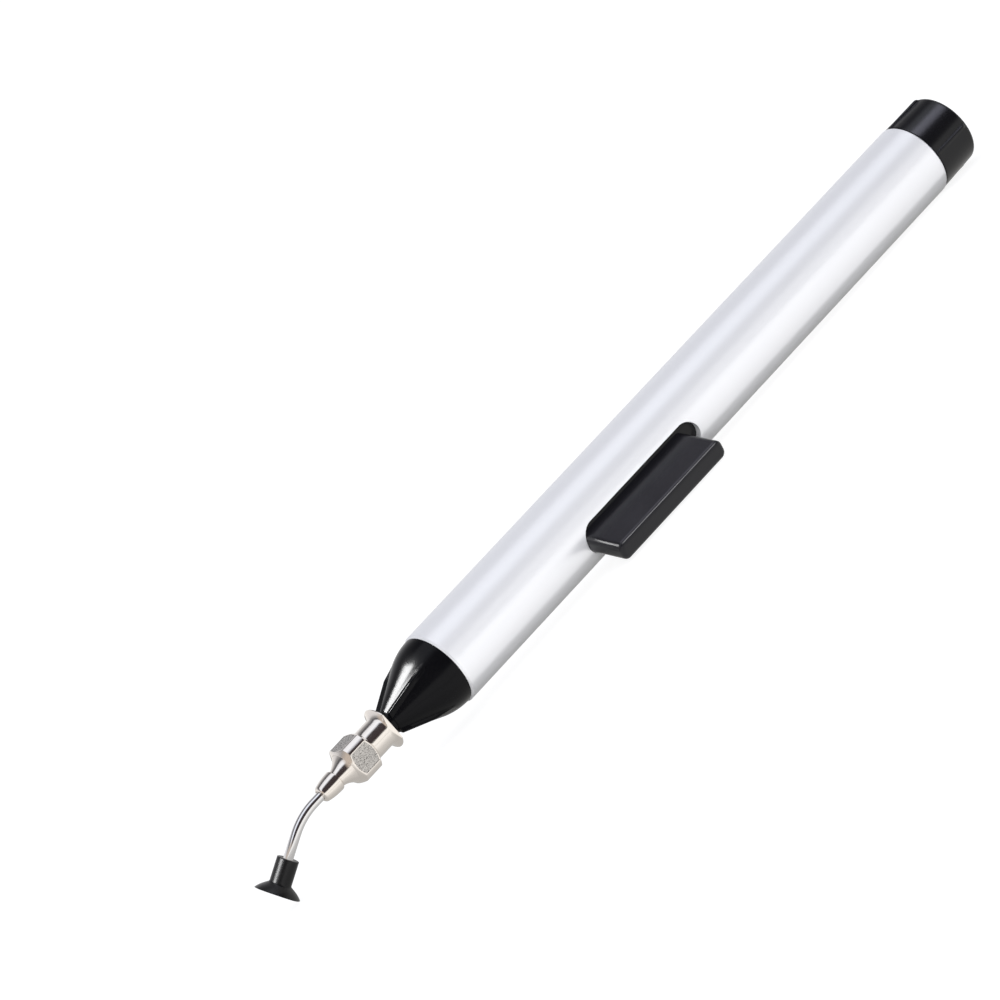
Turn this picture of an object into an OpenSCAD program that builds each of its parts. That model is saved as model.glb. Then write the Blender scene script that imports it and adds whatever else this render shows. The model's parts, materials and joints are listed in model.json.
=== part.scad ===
// Hand-held vacuum pick-up pump: a slotted metal barrel with a press button, a squeeze tube inside,
// a ribbed nose cone, and a turnable needle hub with a bent needle and a suction cup.
// The pen's own frame has X along the barrel from the tip to the cap, X = 0 at the barrel's front end
// and the button towards +Z. The lay() module rolls and pitches it until it rests on the floor.

/* [Barrel] */
// Outside diameter of the barrel
barrel_od = 14; // [13:0.1:16]
// Wall of the barrel
barrel_wall = 1; // [0.7:0.05:1.1]
// Length of the barrel
barrel_len = 127.5; // [110:0.5:150]
// Bevel on the two ends of the barrel
barrel_bevel = 0.3; // [0.1:0.05:0.5]

/* [Slot] */
// Width of the slot in the barrel
slot_w = 5.8; // [5:0.1:6.4]
// Length of the slot, end to end
slot_len = 29; // [26:0.5:34]
// Distance from the barrel's front end to the slot
slot_start = 30.9; // [27:0.1:36]

/* [Button] */
// Width of the button's key
key_w = 3.4; // [2.6:0.1:4]
// Gap between the key and the slot's front end
key_front_gap = 0.1; // [0.1:0.05:1]
// Gap between the key and the slot's rear end
key_rear_gap = 2.6; // [0.5:0.1:3.5]
// Height of the key's face above the barrel at rest
key_rise = 8; // [6:0.1:9]
// Rounding of the key's upright corners
key_corner_r = 1.1; // [0.8:0.1:1.3]
// Rounding of the edges of the key's face
key_round = 0.35; // [0.2:0.05:0.6]
// Length by which the saddle reaches past each end of the slot
saddle_reach = 2.5; // [1.5:0.1:4]
// Width by which the saddle reaches past each side of the slot
saddle_lap = 0.9; // [0.5:0.1:1.2]
// Running clearance between the saddle and the barrel's bore
saddle_gap = 0.1; // [0.05:0.01:0.2]

/* [Squeeze tube] */
// Outside diameter of the squeeze tube
tube_od = 9.4; // [8.6:0.1:9.8]
// Wall of the squeeze tube
tube_wall = 1.2; // [0.9:0.05:1.4]
// Length of the squeeze tube
tube_len = 76; // [66:0.5:90]
// Gap between the nose cone's spigot and the squeeze tube
tube_seat = 0.4; // [0.2:0.1:1]
// Clearance between the tube and the saddle over it
tube_gap = 0.15; // [0.1:0.05:0.3]
// Height by which a barb stretches the tube
barb_bite = 0.15; // [0.1:0.05:0.3]
// Pitch of the barbs
barb_pitch = 2.4; // [1.6:0.1:3]
// Length of the grip of each clamp ring
clamp_len = 3.2; // [2.4:0.1:4]
// Thickness of the clamp rings
clamp_t = 0.5; // [0.3:0.05:0.7]
// Distance from the tube's ends to the clamp rings
clamp_set = 1; // [0.5:0.1:2]
// Gap between the tube's rear end and the stopper's head
stopper_gap = 0.2; // [0.1:0.1:0.6]
// Length of the stopper's head
stopper_len = 4; // [2:0.5:8]

/* [Nose cone] */
// Length of the visible nose cone
nose_len = 12.2; // [10.5:0.1:15]
// Step from the barrel's surface down to the nose cone
nose_step = 0.25; // [0.1:0.05:0.5]
// Radius of the arc that forms the nose cone's shoulder
nose_shoulder_r = 11.5; // [9:0.5:14]
// Slope of the nose cone's straight flank
nose_slope = 25.5; // [23:0.5:28]
// Thickness of the ribs on the nose cone
nose_rib_t = 0.8; // [0.5:0.05:1]
// Height of the ribs on the nose cone
nose_rib_h = 0.62; // [0.4:0.02:0.9]
// Distance from the barrel to the start of the ribs
nose_rib_start = 3.3; // [2.5:0.1:4.5]
// Distance from the barrel to where the ribs reach their full height
nose_rib_full = 7; // [6:0.1:9]
// Turn of the nose cone's ribs from the button
nose_rib_turn = 33; // [0:1:89]
// Length of the spigot in the barrel
spigot_len = 8; // [6:0.5:12]
// Clearance of the spigots in the barrel
push_gap = 0.02; // [0.01:0.01:0.05]
// Diameter of the air passage through the nose cone
air_d = 1.8; // [1.2:0.1:2]

/* [End cap] */
// Length of the visible end cap
cap_len = 8.6; // [7:0.1:12]
// Step from the barrel's surface down to the end cap
cap_step = 0.1; // [0.05:0.05:0.4]
// Fall of the end cap's radius from the barrel to its far end
cap_fall = 0.25; // [0.1:0.05:0.8]
// Rounding of the end cap's far edge
cap_round = 0.8; // [0.3:0.1:1.2]
// Thickness of the ribs on the end cap
cap_rib_t = 0.65; // [0.4:0.05:0.9]
// Height of the end cap's rib crests above the barrel's surface
cap_rib_rise = 0.15; // [0.1:0.05:0.6]
// Bevel on the far ends of the end cap's ribs
cap_rib_bevel = 0.8; // [0.4:0.1:1.2]
// Turn of the end cap's ribs from the button
cap_rib_turn = 72; // [0:1:89]
// Length of the end cap's plug in the barrel
cap_plug_len = 8; // [5:0.5:14]
// Wall of the end cap's plug
cap_plug_wall = 1.6; // [1:0.1:2.5]

/* [Needle hub] */
// Diameter of the hub's flange across its two lugs
lug_d = 7.8; // [7.5:0.1:8.2]
// Width of the flange across the two flats between the lugs
flats_w = 6.1; // [5.8:0.1:6.8]
// Thickness of the flange's rim
flange_t = 0.2; // [0.1:0.1:0.5]
// Length of the flare from the flange's rim down to the neck
flare_len = 0.9; // [0.6:0.1:1.4]
// Diameter of the hub's neck
neck_d = 5.55; // [5:0.05:5.7]
// Length of the hub's neck
neck_len = 4.4; // [3.2:0.1:5]
// Width of the hub's square grip across its flats
grip_w = 6.55; // [6.1:0.05:6.8]
// Diameter of the hub's square grip across its turned corners
grip_d = 7.8; // [7.4:0.1:8]
// Length of the hub's square grip
grip_len = 4.9; // [4.5:0.1:6.5]
// Length of the bevels at the ends of the square grip
grip_bevel = 0.7; // [0.3:0.05:1]
// Depth of the bevels at the ends of the square grip
grip_bevel_depth = 1; // [0.6:0.05:1.1]
// Length of the hub's hollowed cone
hub_cone_len = 2.35; // [2:0.05:4]
// Radius of the curve of the hollowed cone
hub_hollow_r = 4; // [3:0.1:8]
// Diameter of the waist at the end of the hollowed cone
waist_d = 3; // [2.8:0.1:3.4]
// Length of the collar that holds the needle
collar_len = 3.75; // [3:0.05:5]
// Diameter of the collar
collar_d = 3.7; // [3.5:0.1:4]
// Fall of the collar's surface at its front edge
collar_fall = 14; // [8:1:18]
// Rounding of the collar's front edge
collar_round = 0.65; // [0.4:0.05:0.7]
// Turn of the hub's lugs from the button
lug_turn = 67; // [0:1:179]
// Turn of the square grip from the button
grip_turn = -19; // [-45:1:45]
// Gap between the hub's flange and the nose cone
flange_gap = 1.2; // [0.5:0.1:1.5]

/* [Taper] */
// Diameter of the nose cone's taper at its root
taper_d = 4.1; // [4:0.05:4.2]
// Taper on the diameter over its length
taper_rate = 0.06; // [0.04:0.01:0.08]
// Length of the taper
taper_len = 7.5; // [6:0.1:8.2]
// Depth of the hub's socket past the end of the taper
socket_relief = 1; // [0.5:0.1:1.5]
// Running clearance of the taper in the hub
taper_gap = 0.03; // [0.02:0.01:0.08]

/* [Needle] */
// Outside diameter of the needle
needle_od = 1.6; // [1.3:0.05:1.8]
// Wall of the needle
needle_wall = 0.25; // [0.15:0.05:0.35]
// Straight length between the collar and the bend
needle_start = 1.8; // [1:0.1:4]
// Bend of the needle
needle_bend = 38; // [20:1:60]
// Radius of the needle's bend at its centre line
bend_r = 8.3; // [5:0.1:12]
// Straight length between the bend and the cup
needle_end = 4; // [2:0.1:8]
// Turn of the needle's bend from the button
bend_turn = 99; // [80:1:115]
// Gap that the solder fills between the needle and the hub
solder_gap = 0.02; // [0.01:0.01:0.05]

/* [Suction cup] */
// Diameter of the cup's stem
stem_d = 3.55; // [3:0.05:4]
// Length of the cup's stem
stem_len = 4.3; // [3.5:0.1:6]
// Length of the needle inside the stem
stem_grip = 3.2; // [2:0.1:3.4]
// Diameter of the cup's lip
lip_d = 7.4; // [6.6:0.1:9]
// Height of the cup's bell
bell_h = 1.6; // [1.2:0.1:2.4]
// Width of the lip's flat edge
lip_t = 0.3; // [0.2:0.05:0.5]
// Thickness of the bell's wall
bell_wall = 0.5; // [0.35:0.05:0.7]
// Bevel on the edge of the stem
stem_bevel = 0.1; // [0.05:0.05:0.2]
// Flare of the stem into the bell
stem_flare = 0.25; // [0.15:0.05:0.4]
// Height of the lip's outer edge
lip_edge = 0.12; // [0.08:0.02:0.2]
// Squeeze of the cup's bore on the needle
stem_bite = 0.05; // [0.02:0.01:0.1]

/* [Hidden] */
$fn = 96;
over = 0.01;
sink = 0.05;
barb_count = 3;
bend_steps = 12;
needle_sides = 24;

bore_r = barrel_od / 2 - barrel_wall;
spigot_r = bore_r - push_gap;
slot_end = slot_start + slot_len;
key_x0 = slot_start + key_front_gap;
key_x1 = slot_end - key_rear_gap;
key_top = barrel_od / 2 + key_rise;
saddle_or = bore_r - saddle_gap;
saddle_ir = tube_od / 2 + tube_gap;
saddle_w = slot_w + 2 * saddle_lap;
tube_ir = tube_od / 2 - tube_wall;
barb_len = barb_count * barb_pitch;
tube_x0 = spigot_len + tube_seat;
tube_x1 = tube_x0 + tube_len;
clamp_or = tube_od / 2 + clamp_t;

// Flank of the nose cone: an arc into a straight slope
nose_base_r = barrel_od / 2 - nose_step;
nose_arc_x = -nose_shoulder_r * sin(nose_slope);
nose_arc_r = nose_base_r - nose_shoulder_r * (1 - cos(nose_slope));
nose_tip_r = nose_arc_r - (nose_len + nose_arc_x) * tan(nose_slope);

cap_x1 = barrel_len + cap_len;
cap_base_r = barrel_od / 2 - cap_step;
cap_end_r = cap_base_r - cap_fall;
cap_rib_r = barrel_od / 2 + cap_rib_rise;
cap_rib_x1 = cap_x1 - cap_round / 2;

hub_x0 = -nose_len - flange_gap;
neck_x0 = hub_x0 - flange_t;
grip_x0 = neck_x0 - neck_len;
grip_x1 = grip_x0 - grip_len;
grip_end_r = grip_d / 2 - grip_bevel_depth;
waist_x = grip_x1 - hub_cone_len;
collar_x1 = waist_x - collar_len;
socket_x = -nose_len - taper_len - socket_relief;
bend_x = collar_x1 - needle_start;
tip_x = bend_x - bend_r * sin(needle_bend);
tip_h = bend_r * (1 - cos(needle_bend));
cup_len = stem_len + bell_h;
// Points that touch the floor, in the pen's own frame
function radial(turn) = [0, -sin(turn), cos(turn)];
cup_dir = [-cos(needle_bend), 0, 0] + sin(needle_bend) * radial(bend_turn);
lip_centre = [tip_x, 0, 0] + tip_h * radial(bend_turn) + (needle_end + cup_len) * cup_dir;
key_corner = [key_x1 - key_corner_r, -(key_w / 2 - key_round), key_top - key_round];
rib_crests = [for (k = [0:3], side = [-1, 1])
    [cap_rib_x1 - cap_rib_bevel, 0, 0] + cap_rib_r * radial(cap_rib_turn + 90 * k)
    + side * cap_rib_t / 2 * radial(cap_rib_turn + 90 * k + 90)];

// Height, length and breadth in the floor's frame for a roll and a pitch of the pen
function high(v, roll, pitch) = (v.y * sin(roll) + v.z * cos(roll)) * cos(pitch) - v.x * sin(pitch);
function along(v, roll, pitch) = v.x * cos(pitch) + (v.y * sin(roll) + v.z * cos(roll)) * sin(pitch);
function across(v, roll) = v.y * cos(roll) - v.z * sin(roll);
function ring(share) = lip_d / 2 * sqrt(1 - share * share);

// Lowest points of the cup, the cap and the button
function low_cup(roll, pitch) = high(lip_centre, roll, pitch) - ring(high(cup_dir, roll, pitch));
function low_cap(roll, pitch) = min([for (p = rib_crests) high(p, roll, pitch)]);
function low_key(roll, pitch) = high(key_corner, roll, pitch) - key_round;

// Pitch that sets the cup and the cap level, and roll that brings the button down to them
function level(roll, pitch = 0, steps = 4) = steps == 0 ? pitch :
    level(roll, pitch + asin((low_cap(roll, pitch) - low_cup(roll, pitch))
        / (cap_rib_x1 - lip_centre.x)), steps - 1);
function settle(low, top, steps = 24) = let (mid = (low + top) / 2, pitch = level(mid))
    steps == 0 ? mid : low_key(mid, pitch) > low_cap(mid, pitch)
        ? settle(mid, top, steps - 1) : settle(low, mid, steps - 1);

rest_roll = settle(90, 150);
rest_pitch = level(rest_roll);
rest_lift = -low_cap(rest_roll, rest_pitch);
reach_front = along(lip_centre, rest_roll, rest_pitch) - ring(along(cup_dir, rest_roll, rest_pitch));
reach_back = cap_x1 * cos(rest_pitch) + (cap_end_r - cap_round) * sin(rest_pitch);
key_edge = [key_corner.x, -key_corner.y, key_corner.z];
reach_right = across(key_edge, rest_roll) - key_round;
reach_left = max(across(lip_centre, rest_roll) + ring(across(cup_dir, rest_roll)),
    max([for (p = rib_crests) across(p, rest_roll)]));

// Lays the pen on the floor, with the origin under the middle of its box
module lay() {
    translate([-(reach_front + reach_back) / 2, -(reach_right + reach_left) / 2, rest_lift])
        rotate([rest_roll, rest_pitch, 0])
            children();
}

// Solid turned about the pen's axis from an outline of [x, radius] points
module turned(outline) {
    rotate([0, 90, 0])
        rotate_extrude()
            polygon([for (p = outline) [p.y, p.x]]);
}

// Round bar along the pen's axis
module bar(x0, x1, r) {
    translate([x0, 0, 0])
        rotate([0, 90, 0])
            cylinder(h = x1 - x0, r = r);
}

// Upright prism with round ends, from x0 to x1
module round_ended(x0, x1, w, z0, z1) {
    translate([x0 + w / 2, -w / 2, z0])
        cube([x1 - x0 - w, w, z1 - z0]);
    for (x = [x0 + w / 2, x1 - w / 2])
        translate([x, 0, z0])
            cylinder(h = z1 - z0, r = w / 2);
}

// Points on an arc in the [x, radius] plane
function arc(centre, r, from, to, steps = 12) =
    [for (i = [0:steps]) centre + r * [cos(from + (to - from) * i / steps),
        sin(from + (to - from) * i / steps)]];

module barrel() {
    color("gainsboro")
        difference() {
            turned([
                [0, bore_r],
                [0, barrel_od / 2 - barrel_bevel],
                [barrel_bevel, barrel_od / 2],
                [barrel_len - barrel_bevel, barrel_od / 2],
                [barrel_len, barrel_od / 2 - barrel_bevel],
                [barrel_len, bore_r]
            ]);
            round_ended(slot_start, slot_end, slot_w, 0, barrel_od);
        }
}

// Barbed tail that the squeeze tube is pushed over, pointing towards +X from x0
module barbed_tail(x0) {
    root_r = tube_ir - barb_bite;
    crest_r = tube_ir + barb_bite;
    turned(concat(
        [[x0 - over, 0], [x0 - over, root_r]],
        [for (i = [0:barb_count - 1], step = [0, 1])
            [x0 + (i + step) * barb_pitch, step == 0 ? crest_r : root_r - barb_bite]],
        [[x0 + barb_len, 0]]
    ));
}

// One fin on the nose cone: it comes out of the shoulder and ends parallel to the flank
module nose_rib() {
    rise = nose_rib_h / cos(nose_slope);
    start_drop = nose_shoulder_r - sqrt(pow(nose_shoulder_r, 2) - pow(nose_rib_start, 2));
    full_r = nose_tip_r + (nose_len - nose_rib_full) * tan(nose_slope) + rise;
    rotate([90, 0, 0])
        linear_extrude(height = nose_rib_t, center = true)
            polygon([
                [-nose_rib_start, 0],
                [-nose_rib_start, nose_base_r - start_drop - sink],
                [-nose_rib_full, full_r],
                [-nose_len, nose_tip_r + rise],
                [-nose_len, 0]
            ]);
}

// Radius of the taper at a place along the pen
function taper_r(x) = taper_d / 2 + (x + nose_len) * taper_rate / 2;

module nose_cone() {
    color("#1c1c1f")
        difference() {
            union() {
                turned(concat(
                    [[0, 0]],
                    arc([0, nose_base_r - nose_shoulder_r], nose_shoulder_r, 90, 90 + nose_slope),
                    [[-nose_len, nose_tip_r], [-nose_len, 0]]
                ));
                for (k = [0:3])
                    rotate([nose_rib_turn + 90 * k, 0, 0])
                        nose_rib();
                bar(-over, spigot_len, spigot_r);
                barbed_tail(spigot_len);
                turned([
                    [-nose_len + over, 0],
                    [-nose_len + over, taper_d / 2],
                    [-nose_len - taper_len, taper_r(-nose_len - taper_len)],
                    [-nose_len - taper_len, 0]
                ]);
            }
            bar(-nose_len - taper_len - 1, spigot_len + barb_len + 1, air_d / 2);
        }
}

// One fin on the end cap, bevelled at its far end
module end_cap_rib() {
    rotate([90, 0, 0])
        linear_extrude(height = cap_rib_t, center = true)
            polygon([
                [barrel_len, 0],
                [barrel_len, cap_rib_r],
                [cap_rib_x1 - cap_rib_bevel, cap_rib_r],
                [cap_rib_x1, cap_rib_r - cap_rib_bevel],
                [cap_rib_x1, 0]
            ]);
}

module end_cap() {
    plug_x0 = barrel_len - cap_plug_len;
    lean = atan(cap_fall / cap_len);
    color("#202024")
        difference() {
            union() {
                turned(concat(
                    [[barrel_len, 0], [barrel_len, cap_base_r]],
                    arc([cap_x1 - cap_round, cap_end_r - cap_round + cap_round * sin(lean)],
                        cap_round, 90 - lean, 0, 8),
                    [[cap_x1, 0]]
                ));
                for (k = [0:3])
                    rotate([cap_rib_turn + 90 * k, 0, 0])
                        end_cap_rib();
                bar(plug_x0, barrel_len + over, spigot_r);
            }
            bar(plug_x0 - 1, barrel_len + over, spigot_r - cap_plug_wall);
        }
}

// Key with rounded corners and a rounded face, standing up from the saddle
module key() {
    mid_x = (key_x0 + key_x1) / 2;
    corner_x = (key_x1 - key_x0) / 2 - key_corner_r;
    corner_y = key_w / 2 - key_corner_r;
    side_h = key_top - key_round;
    module half_section(reach) {
        square([reach - key_round, key_top]);
        square([reach, side_h]);
        translate([reach - key_round, side_h])
            circle(r = key_round);
    }
    module slab(reach, half_len) {
        rotate([90, 0, 90])
            translate([0, 0, -half_len])
                linear_extrude(height = 2 * half_len) {
                    half_section(reach);
                    mirror([1, 0])
                        half_section(reach);
                }
    }
    translate([mid_x, 0, 0]) {
        slab(key_w / 2, corner_x);
        rotate([0, 0, 90])
            slab((key_x1 - key_x0) / 2, corner_y);
        for (x = [-corner_x, corner_x], y = [-corner_y, corner_y])
            translate([x, y, 0])
                rotate_extrude()
                    half_section(key_corner_r);
    }
}

module button() {
    saddle_x0 = slot_start - saddle_reach;
    saddle_x1 = slot_end + saddle_reach;
    color("#26262b")
        difference() {
            union() {
                key();
                intersection() {
                    bar(saddle_x0, saddle_x1, saddle_or);
                    translate([saddle_x0, -saddle_w / 2, 0])
                        cube([saddle_x1 - saddle_x0, saddle_w, barrel_od]);
                }
            }
            bar(saddle_x0 - 1, saddle_x1 + 1, saddle_ir);
        }
}

module squeeze_tube() {
    color("#d8cfc0")
        turned([
            [tube_x0, tube_ir],
            [tube_x0, tube_od / 2],
            [tube_x1, tube_od / 2],
            [tube_x1, tube_ir]
        ]);
}

// Stopper with a barbed tail in the tube's rear end and a head that runs in the barrel
module tube_stopper() {
    head_x0 = tube_x1 + stopper_gap;
    color("#2a2a2e")
        union() {
            translate([head_x0, 0, 0])
                mirror([1, 0, 0])
                    barbed_tail(0);
            bar(head_x0, head_x0 + stopper_len, spigot_r);
        }
}

// Crimped ring around the tube and the barbs under it
module clamp_ring(x0) {
    turned([
        [x0, tube_od / 2],
        [x0, clamp_or],
        [x0 + clamp_len, clamp_or],
        [x0 + clamp_len, tube_od / 2]
    ]);
}

module front_clamp() {
    color("silver")
        clamp_ring(tube_x0 + clamp_set);
}

module rear_clamp() {
    color("silver")
        clamp_ring(tube_x1 - clamp_set - clamp_len);
}

// Flange with two lugs: a disc that flares from the neck, cut by two flats
module lug_flange() {
    knee_len = 0.5 * flare_len;
    knee_r = neck_d / 2 + 0.25 * (lug_d - neck_d) / 2;
    intersection() {
        turned([
            [hub_x0, 0],
            [hub_x0, lug_d / 2],
            [neck_x0, lug_d / 2],
            [neck_x0 - knee_len, knee_r],
            [neck_x0 - flare_len, neck_d / 2 - sink],
            [neck_x0 - flare_len, 0]
        ]);
        translate([neck_x0 - flare_len, -flats_w / 2, -lug_d / 2])
            cube([flange_t + flare_len, flats_w, lug_d]);
    }
}

// Square grip, turned at its corners and bevelled at both ends
module square_grip() {
    intersection() {
        turned([
            [grip_x0 + over, 0],
            [grip_x0 + over, grip_end_r],
            [grip_x0 - grip_bevel, grip_d / 2],
            [grip_x1 + grip_bevel, grip_d / 2],
            [grip_x1, grip_end_r],
            [grip_x1, 0]
        ]);
        translate([grip_x1, -grip_w / 2, -grip_w / 2])
            cube([grip_len + 1, grip_w, grip_w]);
    }
}

// Hollowed cone in front of the grip, and a collar that swells from the waist and falls to its front edge
module hub_front() {
    ledge = 0.06;
    cone_r = grip_end_r - ledge;
    drop = cone_r - waist_d / 2;
    lean = atan2(drop, hub_cone_len);
    half = asin(norm([drop, hub_cone_len]) / 2 / hub_hollow_r);
    hollow_centre = [waist_x, waist_d / 2] + hub_hollow_r * [-sin(lean - half), cos(lean - half)];
    swell = (collar_d - waist_d) / 2;
    edge_x = collar_x1 + collar_round * (1 - sin(collar_fall));
    crown_r = (waist_x - swell - edge_x) / sin(collar_fall);
    edge_centre_r = collar_d / 2 - crown_r * (1 - cos(collar_fall)) - collar_round * cos(collar_fall);
    turned(concat(
        [[grip_x1 + over, 0], [grip_x1 + over, cone_r]],
        arc(hollow_centre, hub_hollow_r, lean + half - 90, lean - half - 90, 8),
        arc([waist_x - swell, waist_d / 2], swell, 45, 90, 3),
        arc([waist_x - swell, collar_d / 2 - crown_r], crown_r, 90, 90 + collar_fall, 6),
        arc([collar_x1 + collar_round, edge_centre_r], collar_round, 90 + collar_fall, 180, 6),
        [[collar_x1, 0]]
    ));
}

module needle_hub() {
    mouth_x = hub_x0 + 1;
    color("#cfc8bc")
        difference() {
            union() {
                rotate([lug_turn, 0, 0])
                    lug_flange();
                bar(grip_x0 - over, neck_x0 + over, neck_d / 2);
                rotate([grip_turn, 0, 0])
                    square_grip();
                hub_front();
            }
            turned([
                [mouth_x, 0],
                [mouth_x, taper_r(mouth_x) + taper_gap],
                [socket_x, taper_r(socket_x) + taper_gap],
                [socket_x, 0]
            ]);
            bar(collar_x1 - 1, socket_x + 1, needle_od / 2 + solder_gap);
        }
}

// Sets its children at the end of the bend, with Z along the needle
module at_bend_end() {
    rotate([bend_turn, 0, 0])
        translate([tip_x, 0, tip_h])
            rotate([0, needle_bend - 90, 0])
                children();
}

// Stations along the needle's centre line in the plane of its bend: [x, height, slope]
needle_stations = concat(
    [[socket_x, 0, 0]],
    [for (i = [0:bend_steps]) let (slope = needle_bend * i / bend_steps)
        [bend_x - bend_r * sin(slope), bend_r * (1 - cos(slope)), slope]],
    [[tip_x - (needle_end + stem_grip) * cos(needle_bend),
        tip_h + (needle_end + stem_grip) * sin(needle_bend), needle_bend]]
);

// Rings of points around every station at one radius
function needle_rings(r) = [for (s = needle_stations, k = [0:needle_sides - 1])
    let (a = 360 * k / needle_sides)
        [s[0] + r * cos(a) * sin(s[2]), r * sin(a), s[1] + r * cos(a) * cos(s[2])]];

// Bent tube, swept along its stations
module needle() {
    n = needle_sides;
    last = len(needle_stations) - 1;
    inner = len(needle_stations) * n;
    function next(k) = (k + 1) % n;
    color("silver")
        rotate([bend_turn, 0, 0])
            polyhedron(
                points = concat(needle_rings(needle_od / 2), needle_rings(needle_od / 2 - needle_wall)),
                faces = concat(
                    [for (i = [0:last - 1], k = [0:n - 1])
                        [i * n + k, (i + 1) * n + k, (i + 1) * n + next(k), i * n + next(k)]],
                    [for (i = [0:last - 1], k = [0:n - 1])
                        [inner + i * n + k, inner + i * n + next(k), inner + (i + 1) * n + next(k),
                            inner + (i + 1) * n + k]],
                    [for (k = [0:n - 1]) [k, next(k), inner + next(k), inner + k]],
                    [for (k = [0:n - 1])
                        [last * n + next(k), last * n + k, inner + last * n + k,
                            inner + last * n + next(k)]]
                )
            );
}

// Rubber cup: a stem that grips the needle, and a thin bell
module suction_cup() {
    lip_r = lip_d / 2;
    stem_r = stem_d / 2;
    bore = needle_od / 2 - stem_bite;
    passage = needle_od / 2 - needle_wall;
    ceiling = stem_len + bell_wall;
    ceiling_fall = 0.1;
    color("#222222")
        at_bend_end()
            translate([0, 0, needle_end])
                rotate_extrude()
                    polygon([
                        [bore, 0],
                        [stem_r - stem_bevel, 0],
                        [stem_r, stem_bevel],
                        [stem_r, stem_len - stem_flare],
                        [stem_r + stem_flare, stem_len + stem_flare / 2],
                        [lip_r, cup_len - lip_edge],
                        [lip_r, cup_len],
                        [lip_r - lip_t, cup_len],
                        [stem_r, ceiling + ceiling_fall],
                        [passage, ceiling - ceiling_fall],
                        [passage, stem_grip],
                        [bore, stem_grip]
                    ]);
}

lay() barrel();
lay() nose_cone();
lay() end_cap();
lay() button();
lay() squeeze_tube();
lay() tube_stopper();
lay() front_clamp();
lay() rear_clamp();
lay() needle_hub();
lay() needle();
lay() suction_cup();
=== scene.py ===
"""A vacuum pick-up pump laid on a pale floor under soft studio light."""
import json
import math

import bmesh
import bpy
from mathutils import Matrix, Vector, noise as field


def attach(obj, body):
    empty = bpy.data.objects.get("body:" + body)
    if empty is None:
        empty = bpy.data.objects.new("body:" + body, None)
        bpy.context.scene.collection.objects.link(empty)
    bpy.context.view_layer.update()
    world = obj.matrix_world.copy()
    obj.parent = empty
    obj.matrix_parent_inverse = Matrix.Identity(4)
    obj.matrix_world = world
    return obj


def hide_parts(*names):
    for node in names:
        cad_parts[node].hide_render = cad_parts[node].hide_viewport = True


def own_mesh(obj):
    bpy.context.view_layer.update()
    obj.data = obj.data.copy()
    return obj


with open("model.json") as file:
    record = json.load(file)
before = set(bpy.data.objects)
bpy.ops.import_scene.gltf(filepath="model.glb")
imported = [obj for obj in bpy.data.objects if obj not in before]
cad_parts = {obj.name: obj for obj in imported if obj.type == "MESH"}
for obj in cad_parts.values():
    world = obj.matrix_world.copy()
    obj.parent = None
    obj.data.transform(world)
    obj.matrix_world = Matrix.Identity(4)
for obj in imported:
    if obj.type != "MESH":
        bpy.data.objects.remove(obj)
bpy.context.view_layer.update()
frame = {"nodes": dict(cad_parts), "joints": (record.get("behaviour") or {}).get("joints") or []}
nodes = frame["nodes"]

MM = 0.001

# Needle hub, in millimetres along and across the pen; turns and falls in degrees
LUG_D = 7.8
LUG_TURN = 67
LUG_CORNER = 0.05
FLATS_W = 6.1
FLANGE_T = 0.2
RIM_ROUND = 0.08
FLARE_LEN = 0.9
FLARE_BOW = 0.75
FLARE_STEPS = 14
NECK_D = 5.55
NECK_LEN = 4.4
NECK_FILLET = 0.12
FILLET_STOP = 0.02
NECK_STEPS = 7
GRIP_W = 6.55
GRIP_D = 7.8
GRIP_LEN = 4.9
GRIP_END_D = 5.8
GRIP_BEVEL = 0.7
GRIP_TURN = -19
GRIP_EDGE = 0.16
GRIP_STEPS = 84
PANEL_FRAME = 0.14
PANEL_WALL = 0.05
PANEL_DEPTH = 0.06
PIT_DEPTH = 0.06
PIT_SCALE = 4.6
FINE_PIT_DEPTH = 0.6
FINE_PIT_SCALE = 2.1
PANEL_APART = 7.0
HUB_STEP = 2
FLAT_STEPS = 48
CORNER_STEP = 0.7
CORNER_STEPS = 8
LUG_STEP = 0.5
LUG_STEPS = 4
CONE_LEN = 2.35
CONE_D = 5.68
HOLLOW_R = 4.0
WAIST_D = 3.0
COLLAR_D = 3.7
COLLAR_FALL = 14
COLLAR_ROUND = 0.65

# Ribs of the nose cone and the end cap: largest root in millimetres, then shares and steps
RIB_COUNT = 4
RIB_ROOT = 0.12
RIB_MOST_ROUND = 0.45
RIB_ROOT_SHARE = 0.45
RIB_WIDEST = 0.7
RIB_EDGE_STEPS = 6
RIB_ROOT_STEPS = 4
GAP_STEPS = 14

# How far the middle point of a small round rim lies from its corner, as a share of the rim
ROUND_MIDDLE = 0.3

# Nose cone and end cap, in millimetres; turns and slopes in degrees
NOSE_LEN = 12.2
NOSE_BASE_D = 13.5
NOSE_SHOULDER_R = 11.5
NOSE_SLOPE = 25.5
NOSE_RIM = 0.08
NOSE_STEPS = 80
NOSE_RIB_T = 0.5
NOSE_RIB_DRAFT = 0.3
NOSE_RIB_ROUND = 0.23
NOSE_RIB_H = 0.62
NOSE_RIB_START = 3.3
NOSE_RIB_FULL = 7.0
NOSE_RIB_TURN = 33
AIR_D = 1.8
SPIGOT_D = 11.96
SPIGOT_LEN = 8.0
BARB_COUNT = 3
BARB_PITCH = 2.4
BARB_BITE = 0.15
BARB_STEP = 0.05
CAP_LEN = 8.6
CAP_BASE_D = 13.8
CAP_FALL = 0.25
CAP_ROUND = 0.8
CAP_RIM = 0.06
CAP_STEPS = 24
CAP_RIB_T = 0.65
CAP_RIB_DRAFT = 0.05
CAP_RIB_ROUND = 0.3
CAP_CREST_D = 14.3
CAP_RIB_BEVEL = 0.8
CAP_RIB_TURN = 72
CAP_PLUG_LEN = 8.0
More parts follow.
